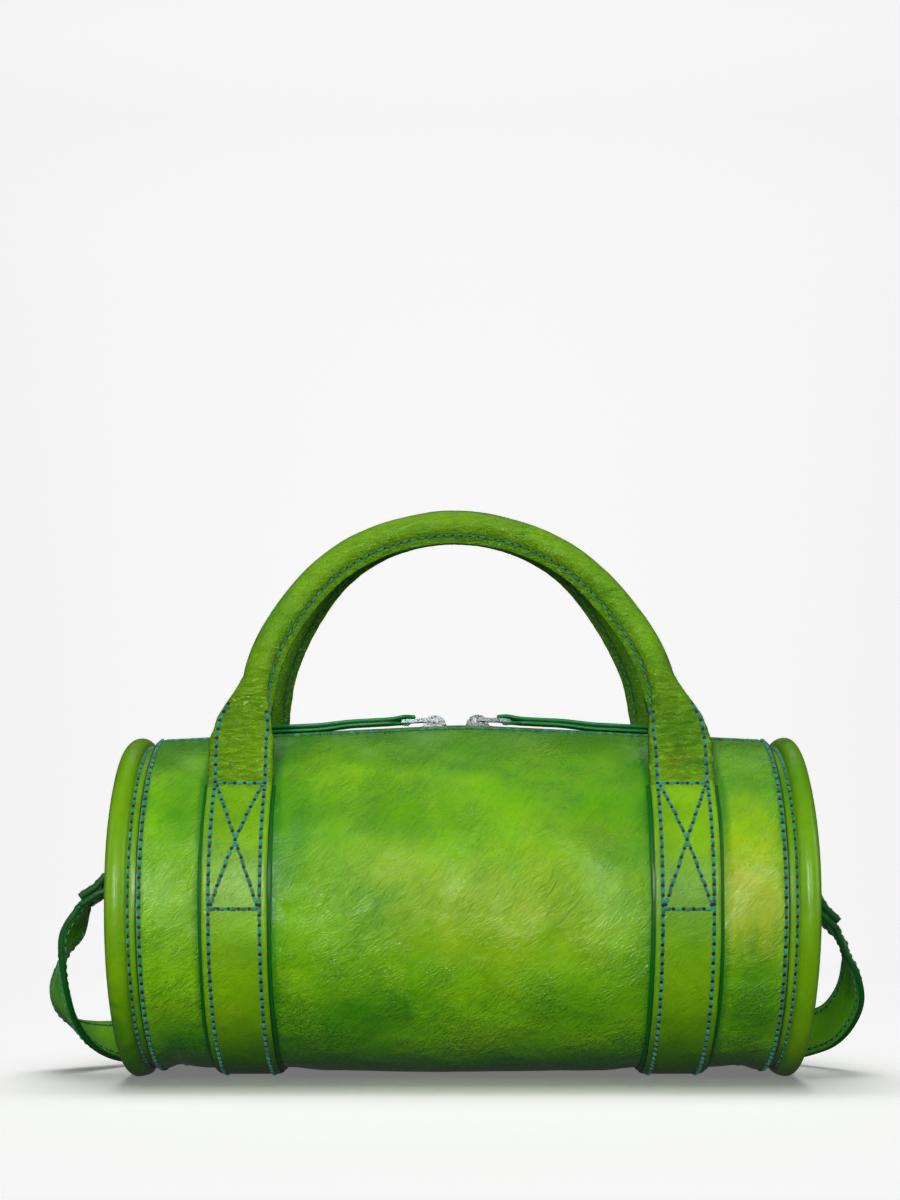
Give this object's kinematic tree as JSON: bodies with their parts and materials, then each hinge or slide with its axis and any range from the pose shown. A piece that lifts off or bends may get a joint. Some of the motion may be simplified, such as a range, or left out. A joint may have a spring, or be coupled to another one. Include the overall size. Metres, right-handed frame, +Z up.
{
  "type": "leather barrel handbag",
  "caption": "Small green leather barrel handbag with rolled handles, a double-ended zip along its top, girth straps with cross-stitched boxes and a flat shoulder strap.",
  "frame": {"origin": "on the ground under the middle of the bag's box, strap included; the barrel's axis is 65.5 mm above the ground and 19.8 mm in front of the origin", "axes": "+X along the barrel to the right as seen from the front, -Y to the front, +Z up"},
  "size_m": [0.3244, 0.1726, 0.2203],
  "materials": {
    "panel_leather": "hand-patinated green, high gloss",
    "rim_leather": "patinated green, gloss",
    "strap_leather": "patinated green with dark painted edges",
    "backing_leather": "dark green edge paint",
    "puller_leather": "green, dark between the layers",
    "lining": "plain woven lining",
    "filler_cord": "twisted cotton cord",
    "zip_tape": "woven dark green tape",
    "zip_metal": "bright nickel",
    "ring_metal": "bright nickel"
  },
  "bodies": {
    "bag": {"body_panel": "panel_leather", "body_lining": "lining", "left_rim_piping": "rim_leather", "right_rim_piping": "rim_leather", "left_piping_cord": "filler_cord", "right_piping_cord": "filler_cord", "left_end_panel": "panel_leather", "right_end_panel": "panel_leather", "left_girth_strap": "strap_leather", "right_girth_strap": "strap_leather", "left_strap_backing": "backing_leather", "right_strap_backing": "backing_leather", "front_zip_tape": "zip_tape", "back_zip_tape": "zip_tape", "front_zip_teeth": "zip_metal", "back_zip_teeth": "zip_metal", "left_zip_stop": "zip_metal", "right_zip_stop": "zip_metal", "left_ring_tab": "strap_leather", "right_ring_tab": "strap_leather", "left_tab_rivet": "ring_metal", "right_tab_rivet": "ring_metal", "left_strap_hang": "strap_leather", "right_strap_hang": "strap_leather", "rear_strap_run": "strap_leather"},
    "front_handle": {"front_handle_cover": "strap_leather", "front_handle_core": "filler_cord"},
    "back_handle": {"back_handle_cover": "strap_leather", "back_handle_core": "filler_cord"},
    "left_slider_body": {"left_slider": "zip_metal"},
    "right_slider_body": {"right_slider": "zip_metal"},
    "left_pull": {"left_pull_bar": "zip_metal", "left_zip_puller": "puller_leather"},
    "right_pull": {"right_pull_bar": "zip_metal", "right_zip_puller": "puller_leather"},
    "left_ring": {"left_strap_ring": "ring_metal", "left_strap_fold": "strap_leather", "left_strap_rivet": "ring_metal"},
    "right_ring": {"right_strap_ring": "ring_metal", "right_strap_fold": "strap_leather", "right_strap_rivet": "ring_metal"}
  },
  "joints": [
    {"name": "front_handle_fold", "type": "hinge", "parent": "bag", "child": "front_handle", "pos_m": [0.0035, -0.06607, 0.11242], "axis": [1, 0, 0], "range_deg": [0, 130]},
    {"name": "back_handle_fold", "type": "hinge", "parent": "bag", "child": "back_handle", "pos_m": [0.0035, 0.02647, 0.11242], "axis": [-1, 0, 0], "range_deg": [0, 130]},
    {"name": "left_slider_run", "type": "slide", "parent": "bag", "child": "left_slider_body", "axis": [-0.9988, 0, -0.0499], "range_m": [0, 0.094]},
    {"name": "right_slider_run", "type": "slide", "parent": "bag", "child": "right_slider_body", "axis": [0.9988, 0, -0.0499], "range_m": [0, 0.099]},
    {"name": "left_pull_swing", "type": "hinge", "parent": "left_slider_body", "child": "left_pull", "pos_m": [-0.00781, -0.0198, 0.13937], "axis": [0, 1, 0], "range_deg": [0, 60]},
    {"name": "right_pull_swing", "type": "hinge", "parent": "right_slider_body", "child": "right_pull", "pos_m": [0.00981, -0.0198, 0.13962], "axis": [0, -1, 0], "range_deg": [0, 60]},
    {"name": "left_ring_swing", "type": "hinge", "parent": "bag", "child": "left_ring", "pos_m": [-0.1267, -0.0198, 0.0805], "axis": [0, 1, 0], "range_deg": [0, 30], "deforming": ["left_strap_hang"]},
    {"name": "right_ring_swing", "type": "hinge", "parent": "bag", "child": "right_ring", "pos_m": [0.1337, -0.0198, 0.0745], "axis": [0, -1, 0], "range_deg": [0, 30], "deforming": ["right_strap_hang"]}
  ]
}
